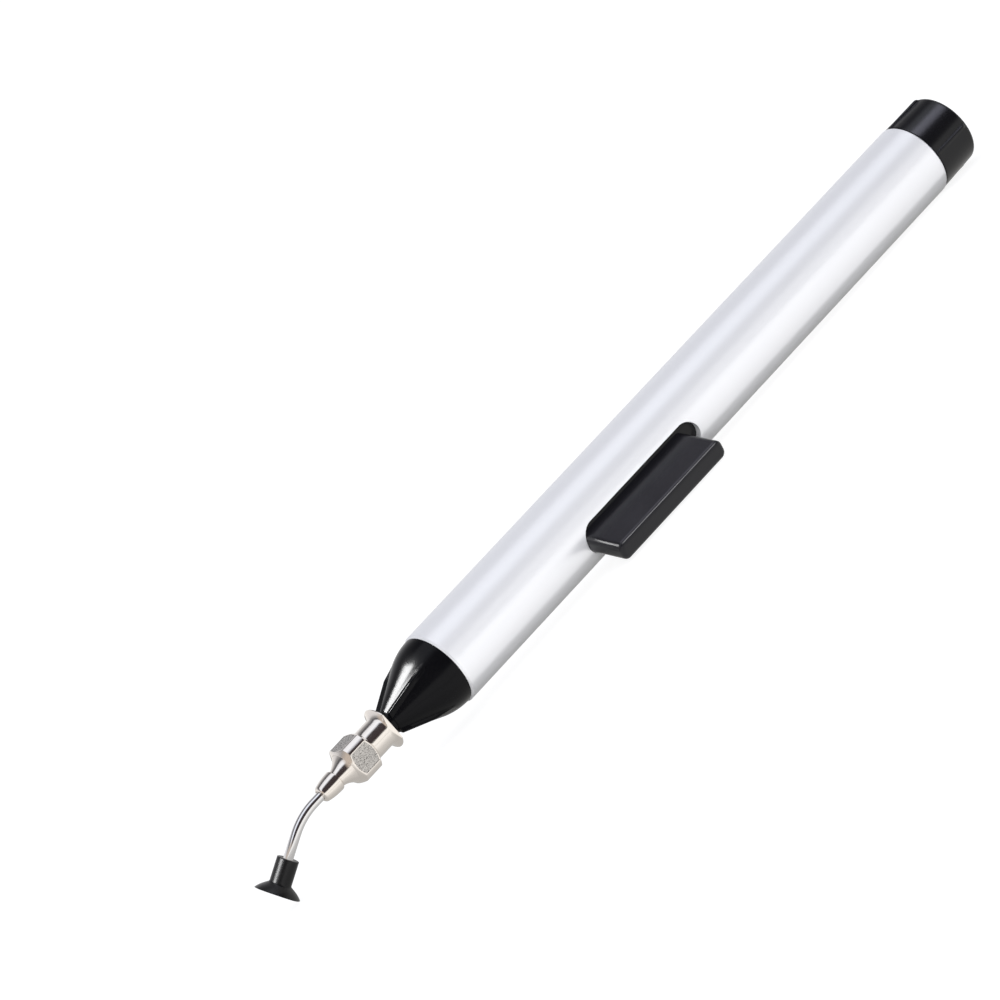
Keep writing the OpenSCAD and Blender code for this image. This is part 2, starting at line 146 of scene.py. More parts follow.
CAP_PLUG_WALL = 1.6

# Button, in millimetres
SLOT_START = 30.9
SLOT_END = 59.9
SLOT_W = 5.8
KEY_START = 31.0
KEY_END = 57.3
KEY_W = 3.4
KEY_TOP = 15.0
KEY_CORNER = 1.2
KEY_LEAST_CORNER = 0.1
KEY_ROUND = 0.7
KEY_ROUND_STEPS = 10
KEY_FACE_INSET = 0.3
KEY_SUNK = 0.4
SADDLE_REACH = 2.5
SADDLE_LAP = 0.9
SADDLE_GAP = 0.1
SADDLE_STEPS = 24
TUBE_GAP = 0.15
BORE_D = 12.0

# Taper, needle and squeeze tube, in millimetres; turns and bends in degrees
TAPER_D = 4.1
TAPER_RATE = 0.06
SOCKET_GAP = 0.03
SOCKET_DEPTH = 1.0
NEEDLE_OD = 1.6
NEEDLE_WALL = 0.25
NEEDLE_PLAY = 0.02
NEEDLE_SIDES = 40
NEEDLE_START = 1.8
NEEDLE_BEND = 38
NEEDLE_END = 4.0
BEND_R = 8.3
BEND_TURN = 99
BEND_STEPS = 24
TUBE_OD = 9.4
TUBE_WALL = 1.2
TUBE_END_LEN = 12
TUBE_STEP = 2
TUBE_SIDES = 64

# Suction cup, in millimetres; each wave as its count round the lip, its height and its start in radians
STEM_GRIP = 3.2
STEM_D = 3.55
STEM_LEN = 4.3
STEM_ROUND = 0.12
STEM_FLARE = 0.4
STEM_STEPS = 6
LIP_D = 7.4
LIP_ROUND = 0.07
BELL_H = 1.6
BELL_WALL = 0.5
BELL_END = (0.1, 0.03)
BELL_SAG = 0.12
SAG_BACK = 0.3
BELL_STEPS = 10
ROOF_INSET = 0.2
ROOF_EDGE = ((0.02, 0.1), (0.15, 0.0))
INSIDE_STEPS = 9
CUP_SIDES = 96
LIP_WAVES = ((2, 0.07, 0.8), (3, 0.04, 2.0))
LIP_BACK = 0.11
LIP_LIFT = 0.32
LIFTED_SIDE = Vector((-0.42, -0.89, 0.15))

# Camera, in metres, with its lens in millimetres
VIEW_PLACE = Vector((-0.353576, -0.709544, 0.137623))
VIEW_RIGHT = Vector((0.612498, -0.401770, -0.680755))
VIEW_UP = Vector((0.668053, -0.197264, 0.717491))
VIEW_BACK = Vector((-0.422554, -0.894242, 0.147579))
SENSOR_W = 36.0
LENS = 180.0
CLIP_START = 0.05
CLIP_END = 100.0

# Studio that shiny surfaces mirror: stops from the near side over the top to the far side, as a share
ROOM_STOPS = (
    (0.0, (0.10, 0.09, 0.09)),
    (0.02, (0.04, 0.03, 0.032)),
    (0.27, (0.045, 0.037, 0.04)),
    (0.31, (0.60, 0.63, 0.70)),
    (0.35, (0.88, 0.92, 1.0)),
    (0.50, (0.78, 0.80, 0.86)),
    (0.545, (0.10, 0.10, 0.11)),
    (0.59, (0.09, 0.09, 0.10)),
    (0.68, (0.26, 0.26, 0.27)),
    (0.83, (0.66, 0.66, 0.68)),
    (1.0, (0.80, 0.79, 0.78)),
)
ROOM_LEVEL = 1.25
ROOM_END = (0.50, 0.44, 0.39)
ROOM_END_START = -0.78
ROOM_END_FULL = -0.93
EVEN_GREY = (0.60, 0.615, 0.68)
WHITE = (1.0, 1.0, 1.0)

# Floor, in metres: its stops run from near to far, as shares of the mirrored length and levels of the
# painted reflection that shiny surfaces see in it; its low levels are painted shadow under and behind the
# pen and painted dark towards the view
FLOOR_HALF = 40.0
FLOOR_NEAR = -0.3
FLOOR_FAR = 0.05
FLOOR_PAINTED_REFLECTION_STOPS = (
    (0.0, 0.07), (0.29, 0.25), (0.51, 0.68), (0.64, 0.98), (0.73, 1.0), (0.803, 1.0),
    (0.812, 0.76), (0.823, 0.98), (0.835, 0.9), (0.852, 0.62), (0.871, 0.48), (1.0, 0.44),
)
FLOOR_PAINTED_REFLECTION_LEVEL = 1.15
FLOOR_PAINTED_REFLECTION_TINT = (1.0, 0.99, 0.97)
FLOOR_GREY = (0.28, 0.28, 0.28)
FLOOR_SEEN = 0.88

# Lamps, in metres: a mirrored one shows only in shiny surfaces, any other lights only matt ones
MIDDLE = (0.0, 0.0, 0.01)
NOSE_SPOT = (-0.052, 0.0, 0.012)
BARREL_SPOT = (0.05, 0.0, 0.01)
OVER_STRIP = (0.07, -0.0623, 0.1)
CAP_SPOT = (0.088, 0.0, 0.009)
KEY_SPOT = (-0.02, -0.01, 0.006)
COOL = (0.82, 0.82, 1.0)
FAINT_COOL = (0.97, 0.97, 1.0)
VIOLET = (0.86, 0.82, 1.0)
FAINT_VIOLET = (1.0, 0.98, 1.0)
LAMPS = (
    dict(name="overhead", place=(-0.12, -0.2, 0.55), aim=MIDDLE, size=(0.6, 0.4), radiance=0.3),
    dict(name="front_fill", place=(-0.33, -0.79, 0.1), aim=MIDDLE, size=(0.5, 0.4), radiance=7.2),
    dict(
        name="nose_light", place=(-0.222, 0.025, 0.484), aim=NOSE_SPOT, size=(0.13, 0.27),
        radiance=100.0, mirrored=True, piece="nose",
    ),
    dict(
        name="barrel_light", place=(0.07, -0.0623, 0.0005), aim=OVER_STRIP, size=(0.36, 0.1195),
        radiance=1.2, mirrored=True, piece="barrel_tube",
    ),
    dict(
        name="barrel_front", place=(0.23, -0.45, 0.1), aim=BARREL_SPOT, size=(0.6, 0.2),
        radiance=1.0, mirrored=True, piece="barrel_tube",
    ),
    dict(
        name="cap_light", place=(0.298, -0.245, 0.394), aim=CAP_SPOT, size=(0.3, 0.2),
        radiance=4.2, colour=COOL, mirrored=True, piece="cap",
    ),
    dict(
        name="button_light", place=(0.19, -0.40, 0.25), aim=KEY_SPOT, size=(0.3, 0.1),
        radiance=20.0, colour=FAINT_COOL, mirrored=True, piece="key",
    ),
    dict(
        name="button_ceiling", place=(0.19, 0.1, 0.43), aim=KEY_SPOT, size=(0.4, 0.3),
        radiance=0.2, colour=VIOLET, mirrored=True, piece="key", through=True,
    ),
    dict(
        name="button_ridge", place=(0.19, 0.03, 0.44), aim=KEY_SPOT, size=(0.3, 0.08),
        radiance=5.0, colour=VIOLET, mirrored=True, piece="key",
    ),
    dict(
        name="edge_light", place=(-0.24, 0.2, 0.41), aim=KEY_SPOT, size=(0.14, 0.14),
        radiance=22.0, mirrored=True, piece="key", through=True,
    ),
    dict(
        name="button_fill", place=(-0.35, -0.75, 0.18), aim=KEY_SPOT, size=(0.5, 0.4),
        radiance=20.0, colour=FAINT_VIOLET, piece="key",
    ),
)
CUP_LAMP_SIZE = (0.17, 0.17)
CUP_LAMP_RADIANCE = 34.0
CUP_LAMP_LEAN = -31
CUP_LAMP_FAR = 0.45

# Share of a noise's range that carries most of its change
NOISE_LOW = 0.25
NOISE_HIGH = 0.75


# The pen's own axes

def axes_matrix(x, y, z, origin):
    """A matrix from three axes and an origin."""
    return Matrix([[x[i], y[i], z[i], origin[i]] for i in range(3)] + [[0, 0, 0, 1]])


def pen_axes():
    """The pen's frame in the world: X along the barrel from tip to cap, Z towards the button."""
    joints = {j["name"]: j for j in frame["joints"]}
    along = Vector(joints["needle_turn"]["axis"]).normalized()
    out = -Vector(joints["button_press"]["axis"])
    out = (out - along * out.dot(along)).normalized()
    on_axis = Vector(joints["needle_turn"]["pos_m"])
    front = min((v.co - on_axis).dot(along) for v in nodes["barrel"].data.vertices)
    return axes_matrix(along, out.cross(along), out, on_axis + along * front)


PEN = pen_axes()
INTO_PEN = PEN.inverted()


def reach(node):
    """The first and last place of a node along the pen, in millimetres."""
    along = [(INTO_PEN @ v.co).x / MM for v in nodes[node].data.vertices]
    return min(along), max(along)


def radial(turn):
    """The direction across the pen at a turn in degrees from the button."""
    return Vector((0, -math.sin(math.radians(turn)), math.cos(math.radians(turn))))


def on_pen(x, radius, turn):
    """The world's point for a place along the pen, a radius and a turn."""
    return PEN @ ((Vector((x, 0, 0)) + radius * radial(turn)) * MM)


# Nodes

def plug(tree, node, inputs):
    """Wires a node's inputs from other nodes, or sets them to numbers, vectors and opaque colours."""
    for slot, value in inputs.items():
        socket = node.inputs[slot]
        if isinstance(value, bpy.types.NodeSocket):
            tree.links.new(value, socket)
        elif socket.type == "RGBA":
            socket.default_value = (*value, 1.0)
        else:
            socket.default_value = value
    return node


def add_node(tree, kind, inputs):
    """A new node with its inputs wired or set."""
    return plug(tree, tree.nodes.new(kind), inputs)


def math_node(tree, operation, first, second, clamp=False):
    node = tree.nodes.new("ShaderNodeMath")
    node.operation = operation
    node.use_clamp = clamp
    return plug(tree, node, {0: first, 1: second}).outputs[0]


def map_range(tree, value, start, end, low=0.0, high=1.0):
    """Maps a value from one range to another and stops at its ends."""
    ranges = {"Value": value, "From Min": start, "From Max": end, "To Min": low, "To Max": high}
    return add_node(tree, "ShaderNodeMapRange", ranges).outputs[0]


def colour_ramp(tree, value, stops, easing="LINEAR"):
    """A colour for a value, between stops of (position, colour)."""
    node = add_node(tree, "ShaderNodeValToRGB", {0: value})
    ramp = node.color_ramp
    ramp.interpolation = easing
    while len(ramp.elements) < len(stops):
        ramp.elements.new(0.5)
    for element, (at, colour) in zip(ramp.elements, stops):
        element.position = at
        element.color = (*colour, 1.0)
    return node.outputs[0]


def mix_colours(tree, share, first, second):
    node = tree.nodes.new("ShaderNodeMix")
    node.data_type = "RGBA"
    return plug(tree, node, {0: share, 6: first, 7: second}).outputs[2]


def mix_shaders(tree, share, first, second):
    return add_node(tree, "ShaderNodeMixShader", {0: share, 1: first, 2: second}).outputs[0]


def shiny_rays(tree, path):
    """One for rays that a surface mirrors or lets through, else nought."""
    return math_node(tree, "MAXIMUM", path.outputs["Is Glossy Ray"], path.outputs["Is Transmission Ray"])


# Camera, floor and light

def camera():
    """The view of the photograph: low over the floor, the barrel rising to the right."""
    data = bpy.data.cameras.new("view")
    data.sensor_width = SENSOR_W
    data.lens = LENS
    data.clip_start = CLIP_START
    data.clip_end = CLIP_END
    cam = bpy.data.objects.new("view", data)
    cam.matrix_world = axes_matrix(VIEW_RIGHT, VIEW_UP, VIEW_BACK, VIEW_PLACE)
    bpy.context.scene.collection.objects.link(cam)
    bpy.context.scene.camera = cam


def studio_world():
    """White behind the pen; shiny surfaces mirror a studio and matt ones get an even grey."""
    world = bpy.data.worlds.new("studio")
    bpy.context.scene.world = world
    world.use_nodes = True
    tree = world.node_tree
    tree.nodes.clear()
    path = tree.nodes.new("ShaderNodeLightPath")
    where = tree.nodes.new("ShaderNodeTexCoord")
    split = add_node(tree, "ShaderNodeSeparateXYZ", {0: where.outputs["Generated"]})
    nearer = math_node(tree, "MULTIPLY", split.outputs["Y"], -1.0)
    angle = math_node(tree, "ARCTAN2", split.outputs["Z"], nearer)
    over = math_node(tree, "DIVIDE", angle, math.pi, clamp=True)
    room = colour_ramp(tree, over, ROOM_STOPS, "EASE")
    side = map_range(tree, split.outputs["X"], ROOM_END_START, ROOM_END_FULL)
    room = mix_colours(tree, side, room, ROOM_END)
    mirrored = add_node(tree, "ShaderNodeBackground", {"Color": room, "Strength": ROOM_LEVEL})
    seen = add_node(tree, "ShaderNodeBackground", {"Color": WHITE})
    even = add_node(tree, "ShaderNodeBackground", {"Color": EVEN_GREY})
    unseen = mix_shaders(tree, shiny_rays(tree, path), even.outputs[0], mirrored.outputs[0])
    sky = mix_shaders(tree, path.outputs["Is Camera Ray"], unseen, seen.outputs[0])
    add_node(tree, "ShaderNodeOutputWorld", {0: sky})


def floor():
    """A wide white floor that keeps a soft shadow; shiny surfaces see it glow in painted bands, with painted
    shadow under and behind the pen and painted dark towards the view.
    """
    mesh = bpy.data.meshes.new("floor")
    half = FLOOR_HALF
    corners = [(-half, -half, 0), (half, -half, 0), (half, half, 0), (-half, half, 0)]
    mesh.from_pydata(corners, [], [(0, 1, 2, 3)])
    obj = bpy.data.objects.new("floor", mesh)
    bpy.context.scene.collection.objects.link(obj)
    mat = bpy.data.materials.new("white_floor")
    mat.use_nodes = True
    tree = mat.node_tree
    tree.nodes.clear()
    path = tree.nodes.new("ShaderNodeLightPath")
    where = tree.nodes.new("ShaderNodeTexCoord")
    split = add_node(tree, "ShaderNodeSeparateXYZ", {0: where.outputs["Object"]})
    onward = map_range(tree, split.outputs["Y"], FLOOR_NEAR, FLOOR_FAR)
    painted_reflection_bands = colour_ramp(tree, onward, [(at, (level, level, level)) for at, level in FLOOR_PAINTED_REFLECTION_STOPS])
    lit = add_node(tree, "ShaderNodeBsdfDiffuse", {"Color": FLOOR_GREY})
    seen = math_node(tree, "MULTIPLY", path.outputs["Is Camera Ray"], FLOOR_SEEN)
    glow = add_node(tree, "ShaderNodeEmission", {"Strength": seen})
    both = add_node(tree, "ShaderNodeAddShader", {0: lit.outputs[0], 1: glow.outputs[0]})
    # Painted reflection: a glow that only shiny rays see, in bands that paint the pen's shadow under and
    # behind it and a dark side towards the view
    level = math_node(tree, "MULTIPLY", painted_reflection_bands, FLOOR_PAINTED_REFLECTION_LEVEL)
    mirrored = add_node(tree, "ShaderNodeEmission", {"Color": FLOOR_PAINTED_REFLECTION_TINT, "Strength": level})
    surface = mix_shaders(tree, shiny_rays(tree, path), both.outputs[0], mirrored.outputs[0])
    add_node(tree, "ShaderNodeOutputMaterial", {0: surface})
    mesh.materials.append(mat)


def soft_lamp(name, place, aim, size, radiance, colour=WHITE, mirrored=False, piece=None, through=False):
    """A rectangular softbox; with a piece it lights that alone, and may pass through the others."""
    data = bpy.data.lights.new(name, "AREA")
    data.shape = "RECTANGLE"
    data.size = size[0]
    data.size_y = size[1]
    data.energy = radiance * math.pi * size[0] * size[1]
    data.color = colour
    obj = bpy.data.objects.new(name, data)
    back = (Vector(place) - Vector(aim)).normalized()
    up = back.cross(Vector((1, 0, 0))).normalized()
    obj.matrix_world = axes_matrix(up.cross(back), up, back, place)
    obj.visible_camera = False
    obj.visible_glossy = mirrored
    obj.visible_diffuse = not mirrored
    obj.visible_transmission = mirrored
    bpy.context.scene.collection.objects.link(obj)
    if piece is None:
        return
    lit = bpy.data.collections.new(name + "_lights")
    lit.objects.link(bpy.data.objects[piece])
    obj.light_linking.receiver_collection = lit
    if through:
        obj.light_linking.blocker_collection = lit


def mirrored_from(start, axis, lean, far):
    """Where a lamp is mirrored on a round piece, at a lean from the line that faces the view."""
    facing = (VIEW_BACK - axis * VIEW_BACK.dot(axis)).normalized()
    aside = axis.cross(facing)
    if aside.dot(VIEW_RIGHT) < 0:
        aside = -aside
    a = math.radians(lean)
    normal = facing * math.cos(a) + aside * math.sin(a)
    return start + (2 * normal.dot(VIEW_BACK) * normal - VIEW_BACK) * far


def lamps():
    """All lamps, after the pieces that they light; the last is placed by the cup's stem."""
    for lamp in LAMPS:
        soft_lamp(**lamp)
    stem = cup_place()
    middle = stem @ Vector((0, 0, STEM_LEN / 2 * MM))
    place = mirrored_from(middle, stem.col[2].to_3d(), CUP_LAMP_LEAN, CUP_LAMP_FAR)
    soft_lamp("cup_light", place, middle, CUP_LAMP_SIZE, CUP_LAMP_RADIANCE, mirrored=True, piece="cup")


# Finishes

def noise(tree, coords, scale, detail, rough=0.5, stretch=None):
    """Fractal noise; stretch scales the coordinates first, to draw the grain out."""
    if stretch:
        coords = add_node(tree, "ShaderNodeMapping", {"Vector": coords, "Scale": stretch}).outputs[0]
    inputs = {"Vector": coords, "Scale": scale, "Detail": detail, "Roughness": rough}
    return add_node(tree, "ShaderNodeTexNoise", inputs).outputs["Fac"]


def make_finish(name, even, colour, sheen, bump):
    """A material that varies by noise: even values, then colour, roughness and bump with their noises.

    colour is (noise, dark, light), sheen is (noise, roughness at its low end, at its high end) and
    bump is (noise, depth in metres, strength). A noise is (scale, detail, roughness, stretch).
    """
    mat = bpy.data.materials.new(name)
    mat.use_nodes = True
    tree = mat.node_tree
    at = tree.nodes.new("ShaderNodeTexCoord").outputs["Object"]
    noises = {}
    for kind in (colour[0], sheen[0], bump[0]):
        if kind not in noises:
            noises[kind] = noise(tree, at, *kind)
    heights = {"Height": noises[bump[0]], "Distance": bump[1], "Strength": bump[2]}
    plug(tree, tree.nodes["Principled BSDF"], {
        **even,
        "Base Color": mix_colours(tree, noises[colour[0]], colour[1], colour[2]),
        "Roughness": map_range(tree, noises[sheen[0]], NOISE_LOW, NOISE_HIGH, sheen[1], sheen[2]),
        "Normal": add_node(tree, "ShaderNodeBump", heights).outputs[0],
    })
    return mat


def satin_aluminium():
    """Fine blasted and anodised aluminium, almost even, with a faint cloud in its sheen."""
    grain = (9000, 2.0)
    return make_finish(
        "satin_aluminium", {"Metallic": 0.16},
        colour=(grain, (0.90, 0.90, 0.91), (0.94, 0.94, 0.945)),
        sheen=((120, 3.0), 0.285, 0.325),
        bump=(grain, 2e-6, 0.35),
    )


def gloss_black():
    """Glossy moulded plastic with slow flow waves and a little dust."""
    flow = (260, 2.0)
    return make_finish(
        "gloss_black", {"Specular IOR Level": 0.12},
        colour=((3000, 2.0), (0.003, 0.003, 0.004), (0.006, 0.006, 0.007)),
        sheen=(flow, 0.17, 0.22),
        bump=(flow, 6e-6, 0.3),
    )


def moulded_black(name, dark, light, smooth, rough, level):
    """Satin moulded plastic or rubber: a fine skin and a slow change of sheen."""
    skin = (5200, 3.0, 0.6)
    return make_finish(
        name, {"Specular IOR Level": level},
        colour=(skin, dark, light),
        sheen=((180, 2.0), smooth, rough),
        bump=(skin, 8e-6, 0.4),
    )


def nickel_plate():
    """Warm nickel plate, polished, with fine turning marks."""
    cloud = (500, 3.0)
    return make_finish(
        "nickel_plate", {"Metallic": 1.0},
        colour=(cloud, (0.80, 0.75, 0.70), (0.88, 0.83, 0.78)),
        sheen=(cloud, 0.1, 0.18),
        bump=((2600, 2.0, 0.5, (3.0, 1.0, 1.0)), 4e-6, 0.3),
    )


def pitted_nickel_painted_shade():
    """The grip's panels: pitted nickel, its colour darker in the low spots of the pits as painted shade,
    smoother where it is light.
    """
    pits = (4200, 2.0, 0.6)
    return make_finish(
        "pitted_nickel_painted_shade", {"Metallic": 1.0},
        # Painted shade: the colour darkens where the pits' bump is lowest
        colour=(pits, (0.30, 0.29, 0.275), (0.82, 0.79, 0.76)),
        sheen=(pits, 0.46, 0.30),
        bump=(pits, 3e-5, 0.6),
    )


def polished_steel():
    """Drawn steel tube, polished."""
    drawn = (3000, 2.0, 0.5, (0.15, 1.0, 1.0))
    return make_finish(
        "polished_steel", {"Metallic": 1.0},
        colour=(drawn, (0.76, 0.75, 0.75), (0.84, 0.83, 0.83)),
        sheen=(drawn, 0.09, 0.15),
        bump=(drawn, 2e-6, 0.3),
    )


def ring_steel():
    """Plain drawn steel of the clamp rings."""
    drawn = (2500, 2.0)
    return make_finish(
        "ring_steel", {"Metallic": 1.0},
        colour=(drawn, (0.55, 0.55, 0.55), (0.65, 0.65, 0.65)),
        sheen=(drawn, 0.3, 0.42),
        bump=(drawn, 4e-6, 0.3),
    )


def tan_silicone():
    """Soft silicone of the squeeze tube, faintly dusty and translucent."""
    dust = (900, 3.0)
    return make_finish(
        "tan_silicone", {"Subsurface Weight": 0.15, "Subsurface Scale": 0.001},
        colour=(dust, (0.5, 0.41, 0.3), (0.58, 0.5, 0.38)),
        sheen=(dust, 0.42, 0.56),
        bump=(dust, 1e-5, 0.3),
    )


def dress(node, finish):
    """Gives a CAD node its finish."""
    materials = nodes[node].data.materials
    materials.clear()
    materials.append(finish)


# Shapes

def add_piece(name, mesh, finishes, body, slot, *stands_for):
    """Links a mesh with its finishes as a piece that rides on a body and stands for CAD nodes."""
    for finish in finishes:
        mesh.materials.append(finish)
    obj = bpy.data.objects.new(name, mesh)
    bpy.context.scene.collection.objects.link(obj)
    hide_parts(*stands_for)
    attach(obj, body)
    return obj


def shade_round(form, sharp):
    """Shades faces round, but not over edges that turn by more than an angle in degrees."""
    for face in form.faces:
        face.smooth = True
    for edge in form.edges:
        if edge.calc_face_angle(0) > math.radians(sharp):
            edge.smooth = False


def ring_mesh(name, rings, sharp=32, poles=False, capped=False):
    """A closed surface through rings of points, joined end to end as in a torus, or with flat caps.

    With poles, the points of a ring that has no size are joined into one.
    """
    mesh = bpy.data.meshes.new(name)
    sides = len(rings[0])
    points = [p for ring in rings for p in ring]
    faces = []
    if capped:
        faces += [tuple(range(sides)), tuple(range(len(points) - sides, len(points)))]
    for i in range(len(rings) - 1 if capped else len(rings)):
        near = i * sides
        far = (i + 1) % len(rings) * sides
        for k in range(sides):
            after = (k + 1) % sides
            faces.append((near + k, near + after, far + after, far + k))
    mesh.from_pydata(points, [], faces)
    form = bmesh.new()
    form.from_mesh(mesh)
    if poles:
        bmesh.ops.remove_doubles(form, verts=form.verts, dist=1e-8)
    bmesh.ops.recalc_face_normals(form, faces=form.faces)
    if form.calc_volume(signed=True) < 0:
        bmesh.ops.reverse_faces(form, faces=form.faces)
    shade_round(form, sharp)
    form.to_mesh(mesh)
    form.free()
    return mesh


def smooth_copy(name, node, body, slot, finish):
    """A CAD node's own surface with its facets joined and shaded round."""
    form = bmesh.new()
    form.from_mesh(nodes[node].data)
    bmesh.ops.remove_doubles(form, verts=form.verts, dist=1e-6)
    shade_round(form, sharp=28)
    for face in form.faces:
        face.material_index = 0
    mesh = bpy.data.meshes.new(name)
    form.to_mesh(mesh)
    form.free()
    add_piece(name, mesh, [finish], body, slot, node)


def turned_rings(outline, place, sides):
    """Rings of an outline of (length, radius) points turned about the Z axis of a place matrix."""
    rings = []
    for length, radius in outline:
        ring = []
        for k in range(sides):
            a = 2 * math.pi * k / sides
            ring.append(place @ (Vector((radius * math.cos(a), radius * math.sin(a), length)) * MM))
        rings.append(ring)
    return rings


def arc_points(centre, radius, start, end, steps):
    """Points (length, radius) on an arc; angles in degrees from the length's own direction."""
    points = []
    for i in range(steps + 1):
        a = math.radians(start + (end - start) * i / steps)
        points.append((centre[0] + radius * math.cos(a), centre[1] + radius * math.sin(a)))
    return points


def soft_lesser(first, second, blend):
    """The lesser of two distances, with the corner between them rounded."""
    near = max(blend - abs(first - second), 0.0) / blend
    return min(first, second) - near * near * blend / 4


# Nose cone and end cap

def rib_profile(thick, draft, rounding, tall):
    """Half of a rib from its middle outwards: (distance from the middle, share of its height)."""
    half = thick / 2
    foot = half + draft
    edge = min(rounding / tall, RIB_MOST_ROUND) if tall > 0 else RIB_MOST_ROUND
    root = min(rounding, RIB_ROOT)
    profile = [(0.0, 1.0)]
    for i in range(RIB_EDGE_STEPS + 1):
        a = math.radians(90 / RIB_EDGE_STEPS * i)
        profile.append((half - rounding + rounding * math.sin(a), 1 - edge * (1 - math.cos(a))))
    for i in range(RIB_ROOT_STEPS + 1):
        a = math.radians(90 / RIB_ROOT_STEPS * i)
        low = RIB_ROOT_SHARE * edge * (1 - math.sin(a))
        profile.append((foot + root * (1 - math.cos(a)), low))
    return profile


def ribbed_ring(x, body, crest, thick, first, draft, rounding):
    """One section across the pen through its ribs, from the body's radius up to the crest's."""
    profile = rib_profile(thick, draft, rounding, crest - body)
    wide = profile[-1][0]
    fit = min(1.0, RIB_WIDEST * body / wide)
    right = [(w * fit, share) for w, share in profile]
    left = [(-w * fit, share) for w, share in reversed(profile[1:])]
    away = math.degrees(math.asin(wide * fit / body)) if body > 0 else 0.0
    pitch = 360 / RIB_COUNT
    ring = []
    for k in range(RIB_COUNT):
        turn = first + pitch * k
        for w, share in left + right:
            base = math.sqrt(body * body - w * w)
            height = base + max(crest - base, 0.0) * share
            point = Vector((x, 0, 0)) + radial(turn) * height + radial(turn + 90) * w
            ring.append(PEN @ (point * MM))
        for i in range(1, GAP_STEPS):
            ring.append(on_pen(x, body, turn + away + (pitch - 2 * away) * i / GAP_STEPS))
    return ring


def nose_cone(finish):
    """Shoulder, flank with four fins, taper in front, spigot and barbs behind, bored through."""
    base = NOSE_BASE_D / 2
    lean = math.radians(NOSE_SLOPE)
    arc_x = -NOSE_SHOULDER_R * math.sin(lean)
    arc_r = base - NOSE_SHOULDER_R * (1 - math.cos(lean))
    rise = NOSE_RIB_H / math.cos(lean)

    def flank(x):
        if x > arc_x:
            return base - NOSE_SHOULDER_R + math.sqrt(NOSE_SHOULDER_R ** 2 - x * x)
        return arc_r + (x - arc_x) * math.tan(lean)

    def fin(x):
        if x <= -NOSE_RIB_FULL:
            return flank(x) + rise
        share = (-NOSE_RIB_START - x) / (NOSE_RIB_FULL - NOSE_RIB_START)
        start = flank(-NOSE_RIB_START)
        return start + (flank(-NOSE_RIB_FULL) + rise - start) * share if share > 0 else 0.0

    front = reach("nose_cone")[0]
    bore = AIR_D / 2
    tip = TAPER_D / 2 + (front + NOSE_LEN) * TAPER_RATE / 2
    end = flank(-NOSE_LEN)
    rim = NOSE_RIM
    mid = ROUND_MIDDLE * rim
    stations = [(front, bore, 0), (front, tip - rim, 0), (front + rim, tip, 0)]
    stations += [(-NOSE_LEN, TAPER_D / 2, 0), (-NOSE_LEN, end - rim, end - rim + rise)]
    stations += [(-NOSE_LEN + mid, end - mid, end - mid + rise)]
    for i in range(1, NOSE_STEPS):
        x = -NOSE_LEN * (1 - i / NOSE_STEPS)
        stations.append((x, flank(x), fin(x)))
    stations += [(-rim, base, 0), (0.0, base - rim, 0), (0.0, SPIGOT_D / 2, 0)]
    stations += [(SPIGOT_LEN, SPIGOT_D / 2, 0)]
    tube = TUBE_OD / 2 - TUBE_WALL
    for i in range(BARB_COUNT):
        at = SPIGOT_LEN + i * BARB_PITCH
        root = tube - (BARB_BITE if i == 0 else 2 * BARB_BITE)
        stations += [(at, root, 0), (at + BARB_STEP, tube + BARB_BITE, 0)]
    last = SPIGOT_LEN + BARB_COUNT * BARB_PITCH
    stations += [(last, tube - 2 * BARB_BITE, 0), (last, bore, 0)]
    rib = (NOSE_RIB_T, NOSE_RIB_TURN, NOSE_RIB_DRAFT, NOSE_RIB_ROUND)
    mesh = ring_mesh("nose", [ribbed_ring(*station, *rib) for station in stations])
    add_piece("nose", mesh, [finish], "pen", "black_gloss", "nose_cone")


def end_cap(finish):
    """Cap with four low fins, a rounded far edge and a hollow plug in the barrel."""
    far = reach("end_cap")[1]
    near = far - CAP_LEN
    base = CAP_BASE_D / 2
    plug_r = SPIGOT_D / 2
    hollow = plug_r - CAP_PLUG_WALL
    crest = CAP_CREST_D / 2
    rib_end = far - CAP_ROUND / 2
    rim = CAP_RIM
    mid = ROUND_MIDDLE * rim

    def fin(x):
        return min(crest, crest - CAP_RIB_BEVEL + rib_end - x)

    def side(x):
        return base - CAP_FALL * (x - near) / CAP_LEN

    stations = [(near, 0, 0), (near, hollow, 0), (near - CAP_PLUG_LEN, hollow, 0)]
    stations += [(near - CAP_PLUG_LEN, plug_r, 0), (near, plug_r, 0)]
    stations += [(near, base - rim, crest - rim), (near + mid, base - mid, crest - mid)]
    start = far - CAP_ROUND
    for i in range(CAP_STEPS):
        x = near + rim + (start - near - rim) * i / CAP_STEPS
        stations.append((x, side(x), fin(x)))
    for x, radius in arc_points((start, side(start) - CAP_ROUND), CAP_ROUND, 90, 0, 12):
        stations.append((x, radius, fin(x)))
    stations.append((far, 0, 0))
    rib = (CAP_RIB_T, CAP_RIB_TURN, CAP_RIB_DRAFT, CAP_RIB_ROUND)
    mesh = ring_mesh("cap", [ribbed_ring(*station, *rib) for station in stations], poles=True)
    add_piece("cap", mesh, [finish], "pen", "black_satin", "end_cap")


# Button

def key_outline(inset, height):
    """The key's outline from above, with rounded corners, drawn in by an inset."""
    corner = max(KEY_CORNER - inset, KEY_LEAST_CORNER)
    half = KEY_W / 2 - inset - corner
    near = KEY_START + inset + corner
    far = KEY_END - inset - corner
    points = []
    for x, y, start in ((far, half, 0), (near, half, 90), (near, -half, 180), (far, -half, 270)):
        for along, across in arc_points((x, y), corner, start, start + 90, 12):
            points.append(PEN @ (Vector((along, across, height)) * MM))
    return points


